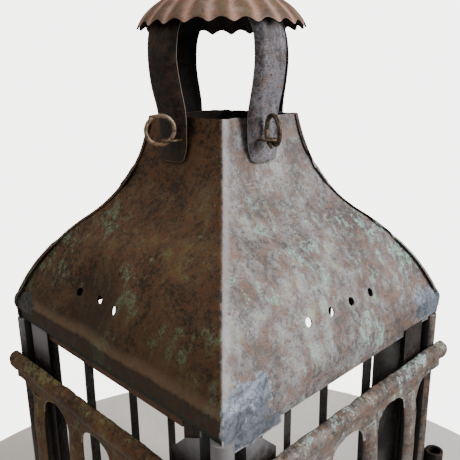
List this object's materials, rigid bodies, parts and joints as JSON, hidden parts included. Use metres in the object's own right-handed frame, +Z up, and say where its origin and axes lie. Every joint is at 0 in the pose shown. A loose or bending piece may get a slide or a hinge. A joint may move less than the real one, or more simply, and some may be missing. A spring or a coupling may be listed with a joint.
{
  "type": "hanging lantern",
  "caption": "Square sheet-iron hanging lantern with glazed windows, guard galleries, an ogee roof, a fluted smoke cap on straps and a hinged back door.",
  "frame": {"origin": "centre of the underside of the base", "axes": "+Z up; -Y out of the front window; +X out of the right window; the door is at the back, +Y"},
  "size_m": [0.224, 0.224, 0.4729],
  "materials": {
    "roof_iron": "old weathered sheet iron, matte",
    "dark_iron": "dark rusted sheet iron, matte",
    "strap_iron": "pitted grey iron, satin",
    "rail_iron": "grey-brown iron with worn pale paint, matte",
    "cap_iron": "rosy brown weathered sheet, matte",
    "wire_iron": "tarnished wire, satin",
    "glass": "clear old window glass"
  },
  "bodies": {
    "lantern": {"baluster_front_1": "rail_iron", "baluster_front_2": "rail_iron", "baluster_front_3": "rail_iron", "baluster_front_4": "rail_iron", "baluster_right_1": "rail_iron", "baluster_right_2": "rail_iron", "baluster_right_3": "rail_iron", "baluster_right_4": "rail_iron", "base_pan": "dark_iron", "candle_holder": "dark_iron", "cap": "cap_iron", "corner_post_back_left": "dark_iron", "corner_post_back_right": "dark_iron", "corner_post_front_left": "dark_iron", "corner_post_front_right": "dark_iron", "crown_eye": "wire_iron", "floor_plate": "dark_iron", "glass_front": "glass", "glass_left": "glass", "glass_right": "glass", "glazing_channel_front_a": "dark_iron", "glazing_channel_front_b": "dark_iron", "glazing_channel_left_a": "dark_iron", "glazing_channel_left_b": "dark_iron", "glazing_channel_right_a": "dark_iron", "glazing_channel_right_b": "dark_iron", "guard_rail_front": "rail_iron", "guard_rail_right": "rail_iron", "guard_sill_front": "rail_iron", "guard_sill_right": "rail_iron", "head_rail_back": "dark_iron", "head_rail_front": "dark_iron", "head_rail_left": "dark_iron", "head_rail_right": "dark_iron", "hinge_pintle_lower": "dark_iron", "hinge_pintle_upper": "dark_iron", "latch_keeper": "dark_iron", "roof_back_left": "roof_iron", "roof_front_right": "roof_iron", "strap_back": "strap_iron", "strap_front": "strap_iron", "strap_left": "strap_iron", "strap_right": "strap_iron", "window_bar_left_1": "dark_iron", "window_bar_left_2": "dark_iron", "window_bar_left_3": "dark_iron", "window_bar_left_4": "dark_iron"},
    "door": {"door_frame": "dark_iron", "door_glass": "glass", "door_bar_1": "dark_iron", "door_bar_2": "dark_iron", "door_bar_3": "dark_iron", "door_bar_4": "dark_iron", "latch_rivet": "wire_iron"},
    "latch": {"latch_button": "dark_iron"},
    "hanger": {"hanging_ring": "wire_iron"},
    "ring_front": {"strap_ring_front": "wire_iron"},
    "ring_right": {"strap_ring_right": "wire_iron"},
    "ring_back": {"strap_ring_back": "wire_iron"},
    "ring_left": {"strap_ring_left": "wire_iron"}
  },
  "joints": [
    {"name": "door_hinge", "type": "hinge", "parent": "lantern", "child": "door", "pos_m": [0.1048, 0.1048, 0.1], "axis": [0, 0, -1], "range_deg": [0, 110]},
    {"name": "latch_turn", "type": "hinge", "parent": "door", "child": "latch", "pos_m": [-0.072, 0.102, 0.12], "axis": [0, 1, 0], "range_deg": [0, 90]},
    {"name": "hanging_ring_swing", "type": "hinge", "parent": "lantern", "child": "hanger", "pos_m": [0, 0, 0.4662], "axis": [0, 1, 0], "range_deg": [0, 220]},
    {"name": "strap_ring_front_swing", "type": "hinge", "parent": "lantern", "child": "ring_front", "pos_m": [0.0048, -0.04539, 0.37], "axis": [0.7431, -0.6691, 0], "range_deg": [0, 90]},
    {"name": "strap_ring_right_swing", "type": "hinge", "parent": "lantern", "child": "ring_right", "pos_m": [0.04539, -0.0085, 0.37], "axis": [0.454, 0.891, 0], "range_deg": [0, 85]},
    {"name": "strap_ring_back_swing", "type": "hinge", "parent": "lantern", "child": "ring_back", "pos_m": [0.004, 0.04539, 0.37], "axis": [-0.9511, 0.309, 0], "range_deg": [-90, 0]},
    {"name": "strap_ring_left_swing", "type": "hinge", "parent": "lantern", "child": "ring_left", "pos_m": [-0.04539, 0.004, 0.37], "axis": [-0.309, -0.9511, 0], "range_deg": [-90, 0]}
  ]
}
